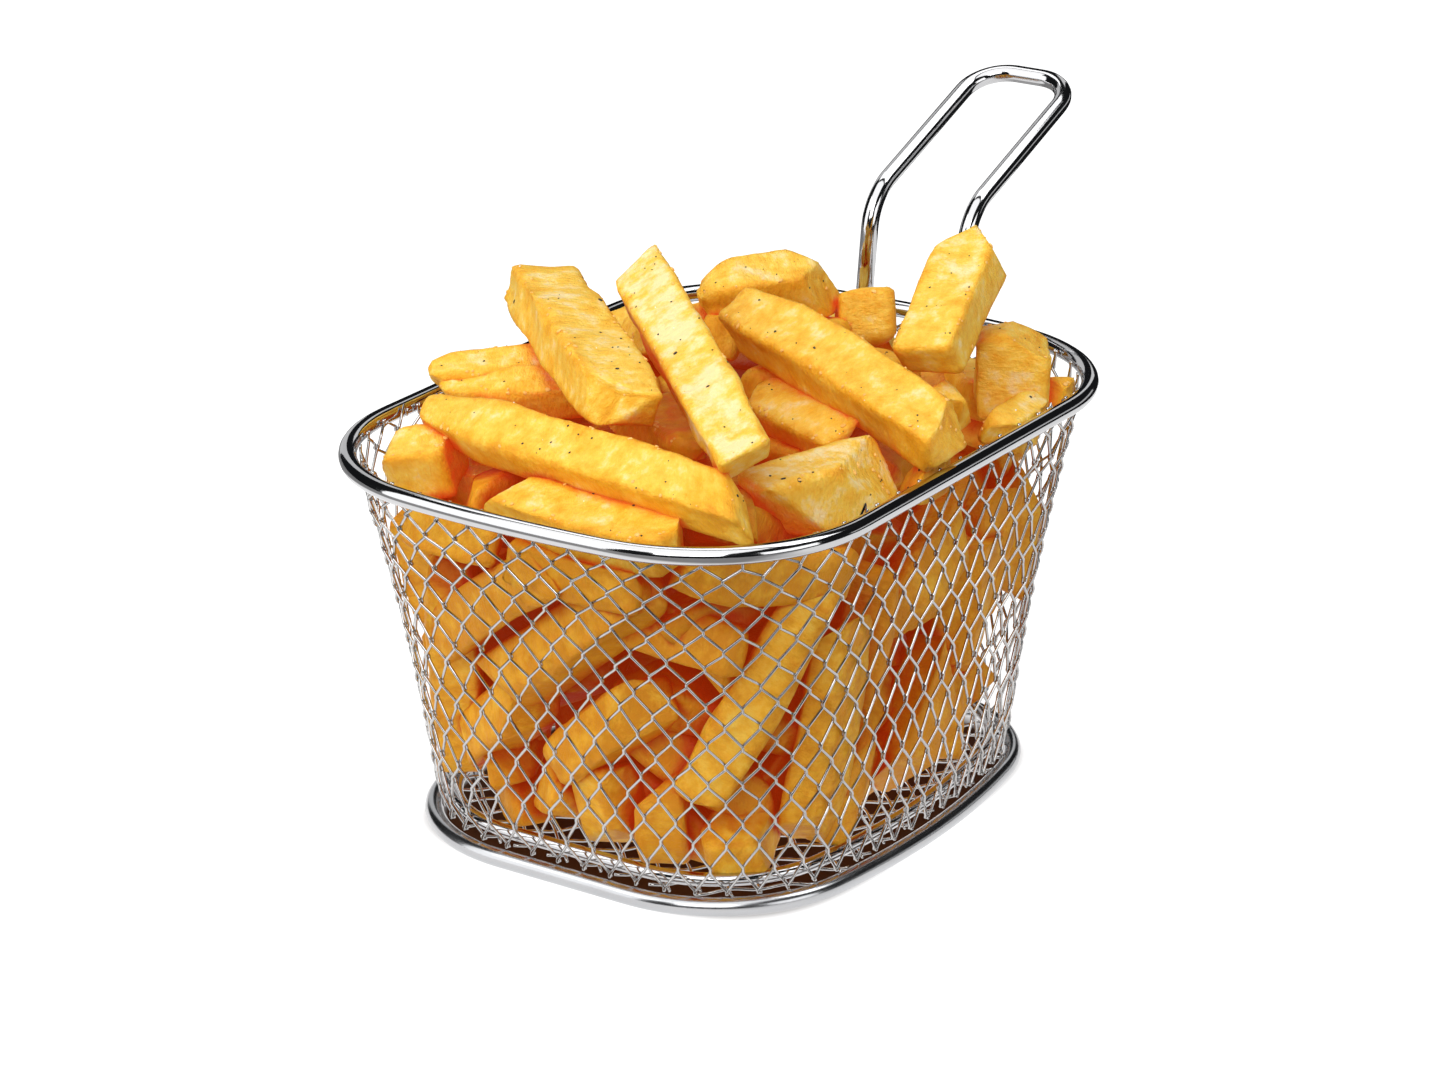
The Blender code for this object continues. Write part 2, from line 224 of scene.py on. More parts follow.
def drawnSteel(name, tint, roughness, lineSpacing):
    # Electropolished stainless wire: drawn through a die, then polished, so it mirrors the room
    # in long bands and only very faint draw lines break the gloss.
    material, tree, shader = newMaterial(name)
    place = addNode(tree, "TexCoord")
    onPiece = {"Vector": place.outputs["Object"]}
    fine = addNode(tree, "TexNoise", {"Scale": 1 / lineSpacing, "Detail": 2.0}, onPiece)
    broad = addNode(tree, "TexNoise", {"Scale": 1 / steelLook["cloud"], "Detail": 2.0}, onPiece)
    smoothest, roughest = [roughness * share for share in steelLook["glossRange"]]
    gloss = addNode(tree, "MapRange", {"To Min": smoothest, "To Max": roughest}, {"Value": broad})
    colour = addNode(tree, "Mix", {"data_type": "RGBA", 6: linear(tint[0]), 7: linear(tint[1])},
                     {"Factor": broad})
    bump = addNode(tree, "Bump",
                   {"Strength": steelLook["lineStrength"], "Distance": steelLook["lineDepth"]},
                   {"Height": fine})
    setNode(tree, shader, {"Metallic": 1.0},
            {"Base Color": colour.outputs[2], "Roughness": gloss, "Normal": bump})
    return material


potatoLook = {
    "colours": ((0.0, "#f9dd9e"), (0.3, "#f7c84b"), (0.62, "#f0b02a"), (1.0, "#e09414")),   # cream to amber
    "toneRange": (1.60, 3.18),  # tone, patches, wrinkles and crust added up, where the first and last hold
    "patch": 3.9,               # sizes in mm: patches of colour
    "wrinkle": 1.3,             # wrinkles of the dried skin
    "speck": 0.5,               # browned specks and grit
    "wrinkleStretch": (0.5, 1.0, 0.5),      # wrinkles are drawn out across the fry
    "patchTone": 3.0,           # how much each of them darkens
    "wrinkleTone": 0.5,
    "crustTone": 1.0,
    "glow": "#ff5a10",          # painted glow: orange light added where neighbouring fries shut a point in
    "oiled": 0.36,              # roughness where oil lies, and where the crust is dry
    "dry": 0.62,
    "skinStrength": 0.7,        # bumps: the wrinkled skin and the grit on it
    "skinDepth": 0.9 * mm,
    "gritStrength": 0.5,
    "gritDepth": 0.3 * mm,
}


def friedPotato(name, paintedShadeColour, paintedGlowStrength):
    # Double-fried potato: starch dried to a thin crisp skin over soft flesh. It is a little see-through
    # and satin with oil: creamy on the flat cut faces, more golden on the sides as painted shade, and
    # where the sticks press together painted shade turns it orange-red, with a painted orange glow.
    material, tree, shader = newMaterial(name)
    grain, crust, tone, closed = [addNode(tree, "Attribute", {"attribute_name": layer})
                                  for layer in ("grain", "crust", "tone", "closed")]
    along = {"Vector": grain.outputs["Vector"]}
    across = {"Vector": addNode(tree, "Mapping", {"Scale": potatoLook["wrinkleStretch"]}, along)}
    patches, wrinkles, specks = [
        addNode(tree, "TexNoise", {"Scale": 1 / potatoLook[size], "Detail": detail, "Roughness": rough}, at)
        for size, detail, rough, at in (("patch", 5.0, 0.65, along), ("wrinkle", 5.0, 0.65, across),
                                        ("speck", 3.0, 0.7, along))]
    mottled = addNode(tree, "Math", {"operation": "MULTIPLY_ADD", 1: potatoLook["patchTone"]},
                      {0: patches, 2: tone.outputs["Fac"]})
    streaked = addNode(tree, "Math", {"operation": "MULTIPLY_ADD", 1: potatoLook["wrinkleTone"]},
                       {0: wrinkles, 2: mottled})
    browned = addNode(tree, "Math", {"operation": "MULTIPLY"}, {0: crust.outputs["Fac"], 1: specks})
    edged = addNode(tree, "Math", {"operation": "MULTIPLY_ADD", 1: potatoLook["crustTone"]},
                    {0: browned, 2: streaked})
    palest, deepest = potatoLook["toneRange"]
    level = addNode(tree, "MapRange", {"From Min": palest, "From Max": deepest}, {"Value": edged})
    ramp = addNode(tree, "ValToRGB", {}, {"Fac": level})
    stops = ramp.color_ramp.elements
    first, *between, last = potatoLook["colours"]
    for stop, (position, hexCode) in ((stops[0], first), (stops[1], last)):
        stop.position, stop.color = position, linear(hexCode)
    for position, hexCode in between:
        stops.new(position).color = linear(hexCode)
    # painted shade: where neighbouring fries shut a point in ("closed"), the colour turns to the
    # painted-shade colour and a painted orange glow is added
    colour = addNode(tree, "Mix", {"data_type": "RGBA", 7: linear(paintedShadeColour)},
                     {"Factor": closed.outputs["Fac"], 6: ramp})
    glow = addNode(tree, "Mix", {"data_type": "RGBA", 6: (0, 0, 0, 1), 7: linear(potatoLook["glow"])},
                   {"Factor": closed.outputs["Fac"]})
    gloss = addNode(tree, "MapRange", {"To Min": potatoLook["oiled"], "To Max": potatoLook["dry"]},
                    {"Value": specks})
    skin = addNode(tree, "Bump",
                   {"Strength": potatoLook["skinStrength"], "Distance": potatoLook["skinDepth"]},
                   {"Height": wrinkles})
    grit = addNode(tree, "Bump",
                   {"Strength": potatoLook["gritStrength"], "Distance": potatoLook["gritDepth"]},
                   {"Height": specks, "Normal": skin})
    setNode(tree, shader,
            {"Emission Strength": paintedGlowStrength, "Subsurface Weight": 0.2,
             "Subsurface Radius": (1.0, 0.4, 0.08),         # red light goes deepest
             "Subsurface Scale": 2.2 * mm, "IOR": 1.45, "Specular IOR Level": 0.3},
            {"Base Color": colour.outputs[2], "Roughness": gloss, "Normal": grit,
             "Emission Color": glow.outputs[2]})
    return material


def crumbled(name, dark, light, roughness, grainSize):
    # Small dry bits, matt where they are broken: each has spots of the darker and the lighter colour.
    material, tree, shader = newMaterial(name)
    place = addNode(tree, "TexCoord")
    onPiece = {"Vector": place.outputs["Object"]}
    spots = addNode(tree, "TexNoise", {"Scale": 1 / grainSize, "Detail": 3.0}, onPiece)
    colour = addNode(tree, "Mix", {"data_type": "RGBA", 6: linear(dark), 7: linear(light)},
                     {"Factor": spots})
    setNode(tree, shader, {"Roughness": roughness}, {"Base Color": colour.outputs[2]})
    return material


polishedWire = drawnSteel("electropolishedStainlessWire", ("#cfcfd0", "#c6c6c8"), 0.08, 0.5 * mm)
wovenWire = drawnSteel("wovenStainlessWire", ("#c6c5c4", "#b6b5b4"), 0.06, 0.4 * mm)
satinWire = drawnSteel("satinStainlessWire", ("#c2c3c5", "#b6b7ba"), 0.19, 0.5 * mm)
# one potato with two strengths of painted shade and painted glow: lighter for the top fries, deeper for
# those inside the basket
potatoLightPaintedShade = friedPotato("doubleFriedPotatoLightPaintedShade", "#d8642a", 0.16)
potatoDeepPaintedShade = friedPotato("doubleFriedPotatoDeepPaintedShade", "#b83205", 0.11)
blackPepper = crumbled("crackedBlackPepper", "#17110b", "#4a3a26", 0.7, 0.3 * mm)
crispCrumb = crumbled("crispPotatoCrumb", "#e9a53a", "#f7cd78", 0.6, 0.8 * mm)
seaSalt = crumbled("flakedSeaSalt", "#fff6df", "#ffffff", 0.35, 0.3 * mm)


# rings of the basket
def makeRings():
    rings = [
        ("rimRing", rimShape, 0.0, rimHeight, "rimWire", polishedWire, "rim_wire", "rim"),
        ("footRing", baseShape, 0.0, baseHeight, "baseWire", satinWire, "base_wire", "base_ring"),
        ("innerRing", baseShape, basket["innerInset"], basket["innerHeight"], "innerWire", polishedWire,
         "floor_wire", "floor_ring"),
    ]
    for name, shape, inset, height, wire, material, slot, node in rings:
        table = ringTable(shape, inset)
        path = [pointOnRing(table, k / basket["ringSteps"], height) for k in range(basket["ringSteps"])]
        ring = wirePiece(name, [path], basket[wire], basket["wireSides"], closed=True)
        finishPiece(ring, material, slot, node)


makeRings()
print("rings made")

# bent wire handle
handle = {
    "grip": 19.0 * mm,          # between the two legs' middles
    "centre": 0.4 * mm,         # how far its middle stands off the basket's
    "foot": (55.35 * mm, 57.5 * mm),        # y and z
    "elbow": (58.95 * mm, 85.0 * mm),
    "slope": math.radians(21.3),            # the loop's rise, and its run past the elbow
    "reach": 39.5 * mm,
    "elbowRadius": 9.5 * mm,
    "endRadius": 7.0 * mm,
    "bendSteps": 14,
}


def roundedCorner(before, corner, after, radius, steps):
    inward = (before - corner).normalized()
    outward = (after - corner).normalized()
    half = inward.angle(outward) / 2
    centre = corner + (inward + outward).normalized() * (radius / math.sin(half))
    run = radius / math.tan(half)
    start = corner + inward * run - centre
    finish = corner + outward * run - centre
    sweep = start.angle(finish)
    arc = []
    for k in range(steps + 1):
        part = k / steps
        mix = start * math.sin((1 - part) * sweep) + finish * math.sin(part * sweep)
        arc.append(centre + mix / math.sin(sweep))
    return arc


def makeHandle():
    elbow = Vector(handle["elbow"])
    end = elbow + handle["reach"] * Vector((math.cos(handle["slope"]), math.sin(handle["slope"])))
    corners = []
    for side, places in ((-1, (handle["foot"], elbow, end)), (1, (end, elbow, handle["foot"]))):
        x = handle["centre"] + side * handle["grip"] / 2
        corners += [Vector((x, y, z)) + middle for y, z in places]
    radii = (handle["elbowRadius"], handle["endRadius"], handle["endRadius"], handle["elbowRadius"])
    path = [corners[0]]
    for k, radius in enumerate(radii, start=1):
        path += roundedCorner(corners[k - 1], corners[k], corners[k + 1], radius, handle["bendSteps"])
    path.append(corners[-1])
    loop = wirePiece("handleLoop", [path], basket["handleWire"], basket["wireSides"])
    finishPiece(loop, polishedWire, "handle_wire", "handle")


makeHandle()
print("handle made")

# woven wire cloth: wall and floor
cloth = {
    "cells": 58,                # round the basket
    "rows": 17,                 # half cells from foot to rim
    "bendAt": ((0.0, 0.0), (0.07, 0.0), (0.13, 0.04), (0.87, 0.96), (0.93, 1.0)),   # up and along in a row
    "sideRows": (2.8, 12.0, 20.0, 28.2, 36.4, 43.9, 51.5, 58.0, 65.0, 71.0),
    "cornerRows": (2.8, 12.0, 19.5, 26.1, 33.0, 40.0, 46.6, 53.4, 59.6, 64.6),
    "endRows": (2.8, 12.0, 19.9, 27.9, 36.2, 43.6, 50.7, 56.7, 62.3, 67.5),
    "rowPlaces": (0.25, 0.58, 0.88),        # where those three hold: 0 is mid side, 1 is mid end
    "hookHeight": 64.4 * mm,    # where the wires turn in behind the rim
    "hookInset": 1.95 * mm,
    "hookRise": 0.7 * mm,       # the tip over the rim's middle
    "hookDrift": 0.05,          # and along the rim, in cells
    "hookTurns": (0.2, 0.6, 1.0),
    "flareFrom": 3 * mm,
    "evenFlare": 0.6,           # the share of the flare that is straight; the rest curves
    "start": 0.1,               # shift round the basket, in cells
    # height, and how far in from the outline
    "insets": [(2.7 * mm, 1.8 * mm), (4.2 * mm, 1.4 * mm), (9 * mm, 1.1 * mm), (58 * mm, 1.0 * mm),
               (61.5 * mm, 1.1 * mm), (63.4 * mm, 1.9 * mm), (65 * mm, 2.1 * mm)],
    "heightGrid": 0.5,          # mm: outlines are worked out on this grid and shared
    "insetGrid": 0.05,
    "wallSides": 8,
    "floorHeight": 2.6 * mm,
    "floorPitch": 4.6 * mm,
    "floorInset": 2.6 * mm,
    "floorWires": 22,           # each way from the middle
    "floorSteps": 5,            # points in a cell
    "floorSides": 6,
}


def wallShape(height):
    # the outline at a height, between those of the foot and the rim
    rise = (height - cloth["flareFrom"]) / (rimHeight - cloth["flareFrom"])
    flare = cloth["evenFlare"] * rise + (1 - cloth["evenFlare"]) * rise * rise
    return tuple(low + (high - low) * flare for low, high in zip(baseShape, rimShape))


def cellHeight(share, row):
    # the crossings' heights are given at three places round the basket; the rest lie between
    around = (share * 4) % 2
    around = min(around, 2 - around)            # 0 halfway along a side, 1 halfway along an end
    k = min(int(row / 2), len(cloth["sideRows"]) - 2)
    part = row / 2 - k
    levels = [cloth[name][k] + (cloth[name][k + 1] - cloth[name][k]) * part
              for name in ("sideRows", "cornerRows", "endRows")]
    return steppedValue(list(zip(cloth["rowPlaces"], levels)), around) * mm


def wallWires():
    rows, cells, bends = cloth["rows"], cloth["cells"], cloth["bendAt"]
    wire = basket["clothWire"]
    heightGrid, insetGrid = cloth["heightGrid"], cloth["insetGrid"]
    tables = {}
    hookTable, hookTop = ringTable(rimShape, cloth["hookInset"]), rimHeight + cloth["hookRise"]
    wires = []
    for lean in (1, -1):                        # the two families of wires
        for start in range(cells):
            path = []
            for k in range(rows * len(bends)):
                upward, along = bends[k % len(bends)]
                row, drift = k // len(bends) + upward, k // len(bends) + along
                share = (start + cloth["start"] + lean * drift / 2) / cells
                height = cellHeight(share, row)
                crimp = lean * wire * math.cos(math.pi * row)       # over one crossing, under the next
                inset = steppedValue(cloth["insets"], height) - crimp
                place = (round(height / (heightGrid * mm)), round(inset / (insetGrid * mm)))
                if place not in tables:
                    outline = wallShape(place[0] * heightGrid * mm)
                    tables[place] = ringTable(outline, place[1] * insetGrid * mm)
                path.append(pointOnRing(tables[place], share, height))
                if height > cloth["hookHeight"]:
                    break
            for turn in cloth["hookTurns"]:     # each end hooks up behind the rim
                tip = share + lean * cloth["hookDrift"] * turn / cells
                height = cloth["hookHeight"] + (hookTop - cloth["hookHeight"]) * turn
                path.append(pointOnRing(hookTable, tip, height))
            wires.append(path)
    return wires


def insideOutline(point, shape, inset):
    x, y = abs(point.x - middle.x), abs(point.y - middle.y)
    halfX, halfY, corner = shape[0] - inset, shape[1] - inset, shape[2] - inset
    if x > halfX or y > halfY:
        return False
    dx, dy = max(0, x - (halfX - corner)), max(0, y - (halfY - corner))
    return dx * dx + dy * dy <= corner * corner


def floorWires():
    # a flat piece of the same cloth, its wires on the diagonal
    pitch, wire = cloth["floorPitch"], basket["clothWire"]
    count, steps = cloth["floorWires"], cloth["floorSteps"]
    wires = []
    for lean in (1, -1):
        direction = Vector((lean, 1, 0)).normalized()
        across = Vector((-direction.y, direction.x, 0))
        for k in range(-count, count + 1):
            path = []
            for s in range(-count * steps, count * steps + 1):
                place = middle + across * (k * pitch) + direction * (s * pitch / steps)
                crimp = lean * wire * math.cos(math.pi * (k + s / steps))
                if insideOutline(place, baseShape, cloth["floorInset"]):
                    path.append(Vector((place.x, place.y, cloth["floorHeight"] + crimp)))
            if len(path) > 3:                   # shorter scraps at the corners are left out
                wires.append(path)
    return wires


def makeCloth():
    wall = wirePiece("wovenWall", wallWires(), basket["clothWire"], cloth["wallSides"])
    finishPiece(wall, wovenWire, "wall_mesh", "mesh_wall")
    floor = wirePiece("wovenFloor", floorWires(), basket["clothWire"], cloth["floorSides"])
    finishPiece(floor, wovenWire, "floor_mesh", "mesh_floor")


makeCloth()
print("wire cloth woven")

# the fries: start, end, width, thickness, in millimetres from the middle of the basket's foot; then roll
# in degrees, ends as shares of the full section, slant of each cut end, bow sideways and upwards, how
# deeply fried (tone), and cuts: which end, its tilts, and how deep. What isn't given is left to chance.
topFries = [
    ((-33.5, -37.5, 70), (33, -48, 70.5), 8.8, 7.5,
     {"roll": 35, "ends": (0.6, 0.9), "slant": ((0.2, 0), (1, -0.2)), "bow": (-1.2, -2.2), "tone": 0.44,
      "cuts": []}),
    ((-36.5, -1, 80.8), (8.5, -40, 78.5), 12, 8.5,
     {"roll": -6, "ends": (0.9, 0.8), "slant": ((-0.1, 0.5), (0, 0.6)), "bow": (0, 0), "tone": 0.3,
      "cuts": [(1, 0.9, 0.3, 0.6)]}),
    ((-17, 0.5, 85), (31.5, -43, 76), 9.5, 7.5,
     {"roll": 27, "ends": (0.95, 0.9), "slant": ((0.4, 0.2), (0.1, 0.9)), "bow": (0, 0), "tone": 0,
      "cuts": []}),
    ((-18, 19, 76), (-1.5, 36.5, 77), 10.5, 9.5,
     {"roll": 12, "ends": (0.4, 0.85), "slant": ((0, 0), (0, 0)), "bow": (0, 0), "tone": 0.4,
      "cuts": [(1, 0.8, 0.5, 1.5), (1, -0.9, 0.7, 1)]}),
    ((-6.5, 12.5, 78), (45.5, -7, 71), 10, 8.8,
     {"roll": 28, "ends": (0.8, 0.9), "slant": ((0, 0), (0, 0.3)), "bow": (0.5, -1), "tone": 0.44,
      "cuts": [(-1, 0.5, -0.6, 0.4), (1, -0.6, 0.3, 0.6)]}),
    ((29.5, 12.5, 75.5), (22.9, 41.4, 88.6), 11, 8.5,
     {"roll": -10, "ends": (0.95, 0.8), "slant": ((0, -0.3), (0, 0)), "bow": (0, 0), "tone": 0.3,
      "cuts": [(1, 1.3, 0.2, 1.2), (1, -1, 0.3, 2.2)]}),
    ((32.2, 35.5, 75.5), (33, 34, 61.5), 12.5, 8.5,
     {"roll": 0, "ends": (0.95, 0.9), "slant": ((0.2, 0.2), (0, 0.4)), "bow": (0, 0), "tone": 0.28,
      "cuts": [(-1, -0.5, 0.2, 0.5)]}),
    ((1, 40, 75.5), (3, 38, 65.5), 10, 8,
     {"roll": 0, "ends": (1, 0.35), "slant": ((0, 0), (0, 0)), "tone": 0.36,
      "cuts": [(-1, 0.3, -0.4, 0.4)]}),
    ((25.5, -32, 63.5), (37.5, -10.5, 66), 11.5, 10.5,
     {"roll": 0, "ends": (0.9, 0.85), "slant": ((0, 0), (0, 0)), "bow": (0, 0), "tone": 0.16}),
    ((-35.5, -44, 62), (-24.5, -40, 64.5), 10.5, 9,
     {"roll": 12, "ends": (0.4, 1), "slant": ((0, 0), (0, 0)), "tone": 0.36, "cuts": []}),
    ((-37.5, -28, 55.5), (-14, -36, 58.5), 9.5, 9, {"tone": 0.9}),
    ((-31, -18, 57.5), (-12, -42, 56), 9.5, 9, {"tone": 0.9}),
    ((-17, -9, 61), (9, -23, 60), 9.5, 9, {"tone": 0.9}),
    ((-11, -49, 63.5), (25.5, -51.5, 63), 9.5, 8, {"roll": 15, "ends": (0.7, 0.9), "tone": 0.45}),
    ((-41, -24.5, 70), (-23, -11.5, 71), 8, 6.5, {"roll": 15, "ends": (0.6, 0.9), "tone": 0.28}),
    ((-38, -26, 68.5), (-15, -15.5, 70), 8, 6.5, {"roll": 15, "ends": (0.7, 0.9), "tone": 0.36}),
    ((-7.5, -14, 68), (11.5, -24, 66.5), 11, 8, {"roll": 0, "tone": 0.9}),
    ((2.5, 4.5, 66), (26, -5.5, 65.5), 9.5, 8, {"roll": 20, "tone": 0.48}),
    ((39.5, 17, 63), (40.5, 31.5, 64), 8, 7, {"roll": 20, "ends": (0.7, 0.8), "tone": 0.35}),
    ((38, 37, 64), (39, 43, 65), 7, 6, {"roll": 10, "ends": (0.8, 0.8), "tone": 0.6}),
    ((38.5, -8.5, 63), (39.5, 0.5, 63.5), 7, 7, {"tone": 0.7}),
    ((31.5, 12.5, 67), (33, 18, 68.5), 7, 7, {"tone": 0.2}),
    ((-5, 29.5, 68.5), (3.5, 32, 69), 8, 7, {"ends": (0.9, 0.8), "tone": 0.9}),
    ((-18, 19.5, 70), (-10.5, 22.5, 70), 9, 8, {"tone": 0.9}),
    ((7.5, 28, 66), (19, 23.5, 66), 9, 8, {"tone": 0.8}),
    ((-37, 8, 64), (-30.5, 39, 65.5), 9, 8.5, {}),
    ((-25, 46.5, 63), (5, 47.5, 62), 9, 8.5, {}),
    ((-29, 12, 68.5), (-14, 41, 69), 10, 8.5, {}),
    ((-36, -9, 62.5), (-13, -3, 66), 9.5, 9, {}),
    ((14, 45, 62), (31, 33, 61), 9.5, 9, {}),
    ((-4, 9, 66), (21, 24, 65.5), 9.5, 9, {}),
    ((1, 42.5, 57.5), (18, 42, 57.5), 9.5, 9, {}),
]
sideFries = [
    ((36.8, 16.5, 46), (33.5, 14.5, 21), 9, 8.5, {"tone": 0.6}),
    ((33.5, 9, 27), (31, 14, 8), 9.5, 8.5, {"tone": 0.6}),
    ((-33, -14, 52), (-22, -42, 49), 9, 8.5, {"tone": 0.8}),
    ((-32, -10, 38), (-20, -40, 35), 9, 8.5, {"tone": 0.8}),
    ((-30, -8, 24), (-16, -37, 21), 9, 8.5, {"tone": 0.8}),
    ((-34, -38, 57), (-30, -36, 35), 9, 8.5, {}),
    ((-31.5, -35, 34), (-27, -32, 12), 9, 8.5, {}),
    ((-21.5, -46, 49), (-28, -36.5, 10), 9, 8.5, {"tone": 0.45}),
    ((3.5, -52, 56.5), (-24.5, -43.5, 36.5), 9, 9, {"tone": 0.8}),
    ((17.5, -50.5, 55), (-14.5, -43.5, 28.5), 10, 9.5, {"tone": 0.7}),
    ((-5.5, -44, 31), (-24.5, -37.5, 14.5), 9.5, 9, {"tone": 0.65}),
    ((16.5, -45, 35.5), (-3.5, -41.5, 17.5), 10, 9, {"tone": 0.7}),
    ((-2.5, -39.5, 15), (-7, -37.5, 6), 9, 8, {}),
    ((4.5, -43, 22), (5.5, -38.5, 4.5), 9, 8, {"tone": 0.35}),
    ((15, -41.5, 20), (13, -37, 5), 8.5, 8, {"tone": 0.7}),
    ((37.5, -31, 54), (21.5, -41.5, 18), 9.5, 9, {"tone": 0.3, "roll": 10}),
    ((38, -24.5, 46), (32.5, -27.5, 8), 9, 8.5, {"tone": 0.5}),
    ((30, -30.5, 9.5), (20.5, -38, 9), 10.5, 9.5, {"tone": 0.5}),
    ((26.5, -20, 22), (22.5, -30.5, 10.5), 9, 9, {}),
    ((34.5, -16.5, 25.5), (31, -21, 7), 9.5, 9, {}),
    ((24.5, -50, 59), (36.5, -24, 53), 9, 8.5, {"tone": 0.75}),
    ((36.5, 12.5, 51), (35, -8, 39), 10.5, 10, {}),
    ((34, 11.5, 28.5), (32, -1.5, 7), 9.5, 9, {}),
    ((36.3, 24.5, 52), (34, 19.5, 31), 8.5, 8.5, {}),
    ((32, 20.5, 25), (30, 14.5, 8), 8, 8, {}),
    ((35.5, -12, 51), (32.5, -14, 27.5), 9, 9, {}),
    ((-27.5, -47, 55.5), (-7.5, -51, 56.5), 8, 8, {}),
    ((-6, -51, 55.5), (19.5, -51, 56), 8.5, 8, {"tone": 0.8}),
    ((8, -45.5, 48), (30, -40.5, 44), 9, 8.5, {"tone": 0.95}),
    ((-37, -34, 55), (-35.5, -4, 41), 9, 9, {}),
    ((-37.5, 2, 57), (-36, 34, 50), 9.5, 9, {}),
    ((-34, -30, 34), (-33, -8, 18), 9.5, 9, {}),
    ((-35, 4, 38), (-33, 30, 26), 10, 9, {}),
    ((-32, -2, 22), (-31, 18, 9.5), 9, 9, {}),
    ((-31, -24, 9.5), (-31, -6, 9), 9, 9, {}),
    ((-31, 22, 14), (-25, 36, 20), 9, 8.5, {}),
    ((-30, 46, 56), (-3, 48, 46), 9, 9, {}),
    ((4, 48, 57), (27, 46.5, 48), 9.5, 9, {}),
    ((-25, 44, 36), (-4, 42, 22), 9.5, 9, {}),
    ((4, 44.5, 38), (25, 42, 30), 9.5, 9, {}),
    ((-20, 37.5, 13), (-1, 38, 9), 9, 8.5, {}),
    ((7, 39.5, 21), (24, 33.5, 8.5), 9.5, 9, {}),
    ((33.5, 39, 51), (31.5, 34, 30), 9, 9, {}),
    ((-33, 40, 43), (-28.5, 36, 25), 9, 9, {}),
]
fryLook = {                     # lengths in mm
    "corner": 1.25,             # radius of a cut edge
    "cornerSwing": 0.8,         # how much it varies along the fry, and how often (turns in a mm)
    "cornerRate": 0.12,
    "cornerLeast": 0.7,
    "cornerMost": 0.85,         # as a share of half the section
    "taperFrom": 0.45,          # where the ends start to narrow, as a share of the way out
    "taperCurve": 1.6,
    "sink": 0.2,                # how far a face dries in
    "lump": 0.8,                # height of the lumps, and their size across and along the fry
    "lumpSize": (7, 10),
    "wrinkle": 0.13,
    "wrinkleSize": 1.4,
    "wrinkleStretch": 0.55,     # wrinkles are longer across the fry by one over this
    "roll": 25,                 # the most that chance gives, in degrees
    "endLeast": 0.75,
    "endSlope": 0.3,
    "bend": 1.2,
    "limberLength": 45,         # shorter fries bend and twist less
    "bowMiddle": 0.4,           # the share of a bow that its middle takes
    "skew": 0.16,
    "cutTilt": 1.2,             # stray slices: how far they lean and how deep they go
    "cutDepth": (0.3, 2.0),
    "twist": 0.10,              # radians, each way
    "crustReach": 1.3,          # how far the browner crust comes in from an edge
    "paintedUndersideShade": 0.36,          # painted shade: how much deeper in tone a face that looks down is painted
    "keepOff": 1.6,             # gap kept to the wires of the wall
    "pressZone": 1.5,           # over which a fry flattens before that gap
    "pressBelow": 67,           # fries above this hang free of the wall
    "floor": 4.0,
}
# mesh spacing in mm, range of tones and the painted shade added to them deeper in the basket, seed,
# and opening: the share of blocked view at which the painted shade starts to redden a face
heaps = {
    "topFries": {"spacing": 0.95, "tones": (0.3, 0.8), "paintedDeepShade": 0.0, "seed": 3, "opening": 0.47},
    "sideFries": {"spacing": 1.25, "tones": (0.5, 0.9), "paintedDeepShade": 0.3, "seed": 5, "opening": 0.31},
    "innerFries": {"spacing": 1.8, "tones": (0.7, 1.0), "paintedDeepShade": 0.3, "seed": 7, "opening": 0.31},
    "heapCore": {"heights": range(5, 60, 3), "inset": 21 * mm, "steps": 60, "tone": 0.9, "crust": 0.6,
                 "lumpSize": 6, "lump": 2.0, "opening": 0.31},
}
wallReach = {"step": 2, "count": 32, "top": 62.0}       # the wall's outlines: mm apart, how many, highest


def potatoLayers(bm):
    # what the potato material reads at each point: browned edges, depth of frying with painted shade added,
    # place in its own grain
    return {"crust": bm.verts.layers.float.new("crust"), "tone": bm.verts.layers.float.new("tone"),
            "grain": bm.verts.layers.float_vector.new("grain")}


def growBox(bm, cuts):
    # adds a unit cube cut into a grid and gives back its vertices
    before = len(bm.verts)
    bmesh.ops.create_cube(bm, size=1.0)
    for axis in range(3):
        bm.verts.ensure_lookup_table()
        mine = set(bm.verts[before:])
        edges = {e for v in mine for e in v.link_edges
                 if abs(e.verts[0].co[axis] - e.verts[1].co[axis]) > 0.5}
        bmesh.ops.subdivide_edges(bm, edges=list(edges), cuts=cuts[axis], use_grid_fill=True)
    bm.verts.ensure_lookup_table()
    return bm.verts[before:]


def pressedIn(point):
    # fries below the rim stay inside the wire cloth, as if pressed flat against it
    height = min(point.z, wallReach["top"])
    table = wallTables[max(0, min(wallReach["count"] - 1, int(height / wallReach["step"])))]
    flat = Vector((point.x, point.y))
    reach = flat.length
    if reach > 1 and point.z < fryLook["pressBelow"]:
        limit = table[int(math.atan2(flat.y, flat.x) / math.tau * 360) % 360] - fryLook["keepOff"]
        zone = fryLook["pressZone"]
        if reach > limit - zone:
            over = (reach - limit + zone) / zone
            flat *= (limit - zone + zone * (1 - math.exp(-over))) / reach
    floor = fryLook["floor"]                    # reached gently over the last millimetre
    z = point.z if point.z > floor + 1 else floor + math.exp(min(0, point.z - floor - 1))
    return Vector((flat.x, flat.y, z))


